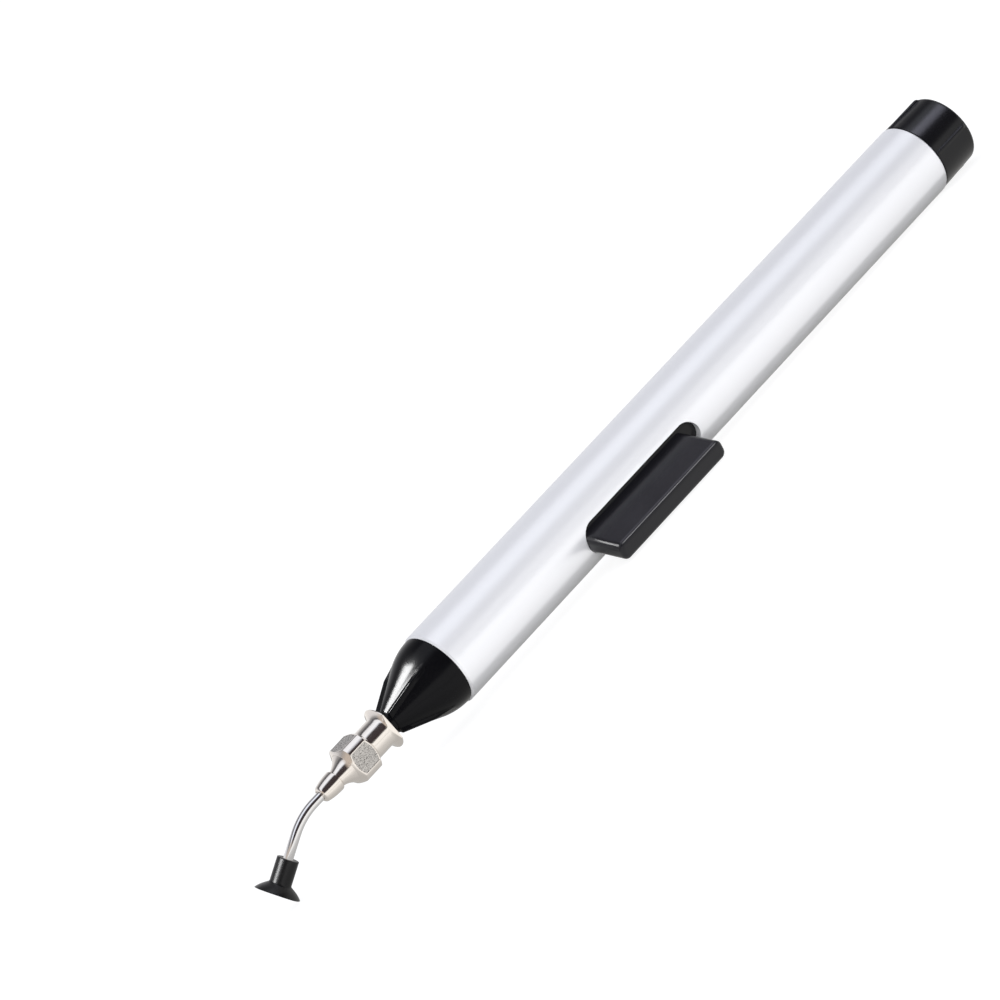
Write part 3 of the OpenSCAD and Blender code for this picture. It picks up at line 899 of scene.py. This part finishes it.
def button_key(finish):
    """The key: a tall block with rounded corners and a face rounded at its edges."""
    rings = [key_outline(0, BORE_D / 2 - KEY_SUNK), key_outline(0, KEY_TOP - KEY_ROUND)]
    for i in range(1, KEY_ROUND_STEPS):
        a = math.radians(90 * i / KEY_ROUND_STEPS)
        height = KEY_TOP - KEY_ROUND * (1 - math.sin(a))
        rings.append(key_outline(KEY_ROUND * (1 - math.cos(a)), height))
    rings += [key_outline(KEY_ROUND, KEY_TOP), key_outline(KEY_ROUND + KEY_FACE_INSET, KEY_TOP)]
    mesh = ring_mesh("key", rings, sharp=40, capped=True)
    add_piece("key", mesh, [finish], "button", "black_satin", "button")


def button_saddle(finish):
    """The curved plate under the key, which the barrel's bore holds in and the tube pushes out."""
    outer = BORE_D / 2 - SADDLE_GAP
    inner = TUBE_OD / 2 + TUBE_GAP
    half = SLOT_W / 2 + SADDLE_LAP
    section = []
    for radius, way in ((outer, 1), (inner, -1)):
        wide = way * math.degrees(math.asin(half / radius))
        for i in range(SADDLE_STEPS + 1):
            a = math.radians(-wide + 2 * wide * i / SADDLE_STEPS)
            section.append((radius * math.sin(a), radius * math.cos(a)))
    rings = []
    for x in (SLOT_START - SADDLE_REACH, SLOT_END + SADDLE_REACH):
        rings.append([PEN @ (Vector((x, y, z)) * MM) for y, z in section])
    mesh = ring_mesh("saddle", rings, sharp=30, capped=True)
    add_piece("saddle", mesh, [finish], "button", "black_satin", "button")


# Needle hub

def grip_corner(inset):
    """Radius of the grip's turned corners at a distance from its nearer end."""
    slope = (GRIP_D - GRIP_END_D) / 2 / GRIP_BEVEL
    return min(GRIP_D / 2, GRIP_END_D / 2 + inset * slope)


def flange_line(rear, neck):
    """The flange's rim and the hollow flare from it down to the neck."""
    lug = LUG_D / 2
    mid = ROUND_MIDDLE * RIM_ROUND
    line = [(rear, lug - RIM_ROUND), (rear - mid, lug - mid), (rear - RIM_ROUND, lug), (neck + mid, lug)]
    for i in range(FLARE_STEPS):
        share = i / FLARE_STEPS
        hollow = (1 - share) ** 2 * FLARE_BOW + (1 - share) * (1 - FLARE_BOW)
        line.append((neck - FLARE_LEN * share, NECK_D / 2 + (lug - NECK_D / 2) * hollow))
    return line


def neck_line(neck, grip):
    """The neck's straight part and the fillet before the grip."""
    length = NECK_LEN - FLARE_LEN - NECK_FILLET
    line = [(neck - FLARE_LEN - length * i / NECK_STEPS, NECK_D / 2) for i in range(NECK_STEPS)]
    centre = (grip + NECK_FILLET, NECK_D / 2 + NECK_FILLET)
    for x, radius in arc_points(centre, NECK_FILLET, -90, -180, 4):
        line.append((x, min(radius, GRIP_END_D / 2 - FILLET_STOP)))
    return line


def grip_line(grip):
    """The grip's turned corners from end to end."""
    line = []
    for i in range(GRIP_STEPS + 1):
        inset = GRIP_LEN * i / GRIP_STEPS
        line.append((grip - inset, grip_corner(min(inset, GRIP_LEN - inset))))
    return line


def front_line(waist, front):
    """The hollow cone, its waist and the collar with its rounded front edge."""
    drop = (CONE_D - WAIST_D) / 2
    lean = math.degrees(math.atan2(drop, CONE_LEN))
    half = math.degrees(math.asin(math.hypot(drop, CONE_LEN) / 2 / HOLLOW_R))
    tilt = math.radians(lean - half)
    centre = (waist - HOLLOW_R * math.sin(tilt), WAIST_D / 2 + HOLLOW_R * math.cos(tilt))
    swell = (COLLAR_D - WAIST_D) / 2
    fall = math.radians(COLLAR_FALL)
    edge_x = front + COLLAR_ROUND * (1 - math.sin(fall))
    crown = (waist - swell - edge_x) / math.sin(fall)
    edge_r = COLLAR_D / 2 - crown * (1 - math.cos(fall)) - COLLAR_ROUND * math.cos(fall)
    line = arc_points(centre, HOLLOW_R, lean + half - 90, lean - half - 90, 16)
    line += arc_points((waist - swell, WAIST_D / 2), swell, 30, 90, 6)
    line += arc_points((waist - swell, COLLAR_D / 2 - crown), crown, 91, 90 + COLLAR_FALL, 8)
    line += arc_points((front + COLLAR_ROUND, edge_r), COLLAR_ROUND, 92 + COLLAR_FALL, 180, 9)
    return line


def lug_radius(turn, radius):
    """Distance of the flange's outline from the axis: a disc cut by two flats between its lugs."""
    off = abs((turn - LUG_TURN + 90) % 180 - 90)
    across = math.sin(math.radians(off))
    flat = FLATS_W / 2 / across if across > 1e-6 else LUG_D
    return soft_lesser(radius, flat, LUG_CORNER)


def grip_radius(turn, radius, x, ends):
    """Distance of the grip's surface from the axis, and whether it lies in a sunk pitted panel."""
    off = (turn - GRIP_TURN + 45) % 90 - 45
    half = GRIP_W / 2
    flat = half / math.cos(math.radians(off))
    skin = soft_lesser(flat, radius, GRIP_EDGE)
    along_flat = half * math.tan(math.radians(off))
    turned = grip_corner(min(ends[0] - x, x - ends[1]) - PANEL_FRAME)
    if flat >= radius or turned <= half:
        return skin, False
    room = math.sqrt(turned * turned - half * half) - PANEL_FRAME - abs(along_flat)
    if room <= 0:
        return skin, False
    panel = round((turn - off) / 90) * PANEL_APART
    spot = Vector((x * PIT_SCALE, along_flat * PIT_SCALE, panel))
    pits = field.noise(spot) + FINE_PIT_DEPTH * field.noise(spot * FINE_PIT_SCALE)
    sunk = min(1.0, room / PANEL_WALL)
    return skin - sunk * (PANEL_DEPTH + PIT_DEPTH * pits), True


def hub_turns():
    """Turns of the hub's points: even steps, with closer ones over the flats and at all corners."""
    corner = math.degrees(math.acos(GRIP_W / GRIP_D))
    lug_corner = math.degrees(math.asin(FLATS_W / LUG_D))
    close = []
    for k in range(4):
        flat = GRIP_TURN + 90 * k
        close += [flat - corner + 2 * corner * i / FLAT_STEPS for i in range(FLAT_STEPS + 1)]
        for i in range(1, CORNER_STEPS + 1):
            close += [flat + corner + i * CORNER_STEP, flat - corner - i * CORNER_STEP]
    for side in (0, 180):
        for off in (-lug_corner, lug_corner):
            close += [LUG_TURN + side + off + i * LUG_STEP for i in range(-LUG_STEPS, LUG_STEPS + 1)]
    return sorted(set(range(0, 360, HUB_STEP)) | {round(turn % 360, 4) for turn in close})


def needle_hub(plate, pitted):
    """Flange with lugs, neck, square grip with pitted panels, hollow cone and collar in one surface."""
    front, rear = reach("needle_hub")
    neck = rear - FLANGE_T
    grip = neck - NECK_LEN
    ends = (grip, grip - GRIP_LEN)
    bore = NEEDLE_OD / 2 + NEEDLE_PLAY
    socket = reach("nose_cone")[0] - SOCKET_DEPTH
    mouth = TAPER_D / 2 + SOCKET_GAP
    root = mouth - (rear - socket) * TAPER_RATE / 2
    stations = [(x, radius, "lug") for x, radius in flange_line(rear, neck)]
    stations += [(x, radius, "round") for x, radius in neck_line(neck, grip)]
    stations += [(x, radius, "grip") for x, radius in grip_line(grip)]
    stations += [(x, radius, "round") for x, radius in front_line(ends[1] - CONE_LEN, front)]
    stations += [(front + NEEDLE_PLAY, bore, "round"), (socket, bore, "round")]
    stations += [(socket, root, "round"), (rear, mouth, "round")]
    turns = hub_turns()
    rings = []
    panel_points = set()
    for i, (x, radius, kind) in enumerate(stations):
        ring = []
        for k, turn in enumerate(turns):
            at = radius
            if kind == "lug":
                at = lug_radius(turn, radius)
            elif kind == "grip":
                at, inside = grip_radius(turn, radius, x, ends)
                if inside:
                    panel_points.add(i * len(turns) + k)
            ring.append(on_pen(x, at, turn))
        rings.append(ring)
    mesh = ring_mesh("needle_hub_body", rings)
    for face in mesh.polygons:
        if panel_points.issuperset(face.vertices):
            face.material_index = 1
    finishes = [plate, pitted]
    add_piece("needle_hub_body", mesh, finishes, "needle_head", "plated_metal", "needle_hub")


# Needle

def needle_route():
    """The needle's centre line: out of the hub's socket, round the bend and into the cup."""
    bend = reach("needle_hub")[0] - NEEDLE_START
    route = [(reach("nose_cone")[0] - SOCKET_DEPTH, 0.0)]
    for i in range(BEND_STEPS + 1):
        a = math.radians(NEEDLE_BEND * i / BEND_STEPS)
        route.append((bend - BEND_R * math.sin(a), BEND_R * (1 - math.cos(a))))
    a = math.radians(NEEDLE_BEND)
    last = NEEDLE_END + STEM_GRIP
    route.append((route[-1][0] - last * math.cos(a), route[-1][1] + last * math.sin(a)))
    place = PEN @ Matrix.Rotation(math.radians(BEND_TURN), 4, "X")
    return [place @ (Vector((x, 0, z)) * MM) for x, z in route]


def tube_tree():
    """Nodes that sweep a round tube along a curve, and the names of the inputs that it takes."""
    tree = bpy.data.node_groups.new("drawn_tube", "GeometryNodeTree")
    face = tree.interface
    face.new_socket("Geometry", in_out="INPUT", socket_type="NodeSocketGeometry")
    radius = face.new_socket("Radius", in_out="INPUT", socket_type="NodeSocketFloat")
    sides = face.new_socket("Sides", in_out="INPUT", socket_type="NodeSocketInt")
    finish = face.new_socket("Material", in_out="INPUT", socket_type="NodeSocketMaterial")
    face.new_socket("Geometry", in_out="OUTPUT", socket_type="NodeSocketGeometry")
    start = tree.nodes.new("NodeGroupInput").outputs
    circle = add_node(tree, "GeometryNodeCurvePrimitiveCircle", {
        "Radius": start["Radius"], "Resolution": start["Sides"],
    })
    sweep = add_node(tree, "GeometryNodeCurveToMesh", {
        "Curve": start["Geometry"], "Profile Curve": circle.outputs["Curve"],
    })
    smooth = add_node(tree, "GeometryNodeSetShadeSmooth", {"Geometry": sweep.outputs["Mesh"]})
    real = add_node(tree, "GeometryNodeRealizeInstances", {"Geometry": smooth.outputs["Geometry"]})
    paint = add_node(tree, "GeometryNodeSetMaterial", {
        "Geometry": real.outputs["Geometry"], "Material": start["Material"],
    })
    add_node(tree, "NodeGroupOutput", {"Geometry": paint.outputs["Geometry"]})
    return tree, radius.identifier, sides.identifier, finish.identifier


def needle(steel):
    """A bent tube with a real wall, swept along its route."""
    route = needle_route()
    curve = bpy.data.curves.new("needle_route", "CURVE")
    curve.dimensions = "3D"
    line = curve.splines.new("POLY")
    line.points.add(len(route) - 1)
    for point, place in zip(line.points, route):
        point.co = (*place, 1)
    maker = bpy.data.objects.new("needle_maker", curve)
    bpy.context.scene.collection.objects.link(maker)
    tree, radius, sides, finish = tube_tree()
    sweep = maker.modifiers.new("sweep", "NODES")
    sweep.node_group = tree
    sweep[radius] = NEEDLE_OD / 2 * MM
    sweep[sides] = NEEDLE_SIDES
    sweep[finish] = steel
    graph = bpy.context.evaluated_depsgraph_get()
    mesh = bpy.data.meshes.new_from_object(maker.evaluated_get(graph), depsgraph=graph)
    bpy.data.objects.remove(maker)
    form = bmesh.new()
    form.from_mesh(mesh)
    bmesh.ops.recalc_face_normals(form, faces=form.faces)
    form.faces.ensure_lookup_table()
    first = form.faces[0]
    middle = first.calc_center_median()
    near = min(route, key=lambda p: (p - middle).length)
    if first.normal.dot(middle - near) < 0:
        bmesh.ops.reverse_faces(form, faces=form.faces)
    form.to_mesh(mesh)
    form.free()
    mesh.name = "needle_tube"
    piece = add_piece("needle_tube", mesh, [], "needle_head", "needle_steel", "needle")
    wall = piece.modifiers.new("wall", "SOLIDIFY")
    wall.thickness = NEEDLE_WALL * MM
    wall.offset = -1


# Suction cup

def cup_place():
    """Axes at the start of the cup's stem, Z along the needle towards the lip."""
    route = needle_route()
    onward = (route[-1] - route[-2]).normalized()
    side = onward.orthogonal().normalized()
    return axes_matrix(side, onward.cross(side), onward, route[-1] - onward * STEM_GRIP * MM)


def cup_outline():
    """Points (length, radius) round the cup's wall: over the stem, the bell and the lip, and back inside."""
    stem = STEM_D / 2
    lip = LIP_D / 2
    end = STEM_LEN + BELL_H
    bore = NEEDLE_OD / 2 - NEEDLE_PLAY
    passage = NEEDLE_OD / 2 - NEEDLE_WALL
    outline = [(2 * NEEDLE_PLAY, bore)]
    outline += arc_points((STEM_ROUND, stem - STEM_ROUND), STEM_ROUND, 180, 90, 4)
    outline += [(STEM_LEN * i / STEM_STEPS, stem) for i in range(1, STEM_STEPS)]
    outline += arc_points((STEM_LEN - STEM_FLARE, stem + STEM_FLARE), STEM_FLARE, -90, -30, 5)
    shoulder = outline[-1]
    for i in range(1, BELL_STEPS):
        share = i / BELL_STEPS
        sag = BELL_SAG * math.sin(math.pi * share)
        outline.append((
            shoulder[0] + (end - BELL_END[0] - shoulder[0]) * share - sag * SAG_BACK,
            shoulder[1] + (lip - BELL_END[1] - shoulder[1]) * share + sag,
        ))
    outline += arc_points((end - LIP_ROUND, lip - LIP_ROUND), LIP_ROUND, 75, -20, 6)
    inner = outline[-1]
    roof = STEM_LEN + BELL_WALL
    for i in range(1, INSIDE_STEPS):
        share = i / INSIDE_STEPS
        outline.append((
            inner[0] + (roof - inner[0]) * math.sin(share * math.pi / 2),
            inner[1] + (stem - ROOF_INSET - inner[1]) * share,
        ))
    outline += [(roof - back, passage + out) for back, out in ROOF_EDGE]
    outline += [(STEM_GRIP + NEEDLE_PLAY, passage), (STEM_GRIP + NEEDLE_PLAY, bore)]
    return outline


def suction_cup(rubber):
    """A soft cup: stem with a rounded end, a flared bell and a thin lip, wavy and lifted on one side."""
    place = cup_place()
    outline = cup_outline()
    rings = turned_rings(outline, place, CUP_SIDES)
    onward = place.col[2].to_3d()
    lifted = place.inverted().to_3x3() @ LIFTED_SIDE
    lifted = math.atan2(lifted.y, lifted.x)
    for ring, (_, radius) in zip(rings, outline):
        share = max(0.0, (radius - STEM_D / 2) / (LIP_D / 2 - STEM_D / 2)) ** 2
        for k, point in enumerate(ring):
            a = 2 * math.pi * k / CUP_SIDES
            wave = sum(tall * math.sin(count * a + start) for count, tall, start in LIP_WAVES)
            wave -= LIP_BACK + LIP_LIFT * max(0.0, math.cos(a - lifted))
            ring[k] = point + onward * (wave * share * MM)
    mesh = ring_mesh("cup", rings, sharp=50)
    piece = add_piece("cup", mesh, [rubber], "needle_head", "cup_rubber", "suction_cup")
    piece.visible_glossy = False


# Squeeze tube

def squeeze_tube(silicone):
    """The tube in three lengths: the middle one gets a mesh of its own, the ends stay on their barbs."""
    first, last = reach("squeeze_tube")
    middle = (first + TUBE_END_LEN, last - TUBE_END_LEN)
    lengths = {"tube_front": (first, middle[0]), "tube_middle": middle, "tube_rear": (middle[1], last)}
    place = PEN @ Matrix.Rotation(math.radians(90), 4, "Y")
    outer = TUBE_OD / 2
    inner = outer - TUBE_WALL
    for name, (start, end) in lengths.items():
        steps = max(2, int((end - start) / TUBE_STEP))
        walls = [start + (end - start) * i / steps for i in range(steps + 1)]
        outline = [(x, outer) for x in walls] + [(x, inner) for x in reversed(walls)]
        mesh = ring_mesh(name, turned_rings(outline, place, TUBE_SIDES))
        piece = add_piece(name, mesh, [silicone], "pen", "tube_rubber", "squeeze_tube")
        if name == "tube_middle":
            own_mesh(piece)


# The object

camera()
studio_world()
floor()

smooth_copy("barrel_tube", "barrel", "pen", "barrel_metal", satin_aluminium())
nose_cone(gloss_black())
end_cap(moulded_black("cap_black", (0.005, 0.005, 0.006), (0.010, 0.010, 0.012), 0.22, 0.265, 0.28))
key_black = moulded_black("button_black", (0.004, 0.004, 0.005), (0.007, 0.007, 0.0085), 0.21, 0.265, 0.26)
button_key(key_black)
button_saddle(key_black)
stopper_black = moulded_black("stopper_black", (0.012, 0.012, 0.014), (0.02, 0.02, 0.022), 0.4, 0.5, 0.5)
dress("tube_stopper", stopper_black)
clamp_steel = ring_steel()
dress("front_clamp", clamp_steel)
dress("rear_clamp", clamp_steel)
needle_hub(nickel_plate(), pitted_nickel_painted_shade())
needle(polished_steel())
suction_cup(moulded_black("cup_rubber", (0.003, 0.003, 0.0035), (0.006, 0.006, 0.0065), 0.29, 0.38, 0.35))
squeeze_tube(tan_silicone())
lamps()

view = bpy.context.scene.view_settings
view.view_transform = "Standard"
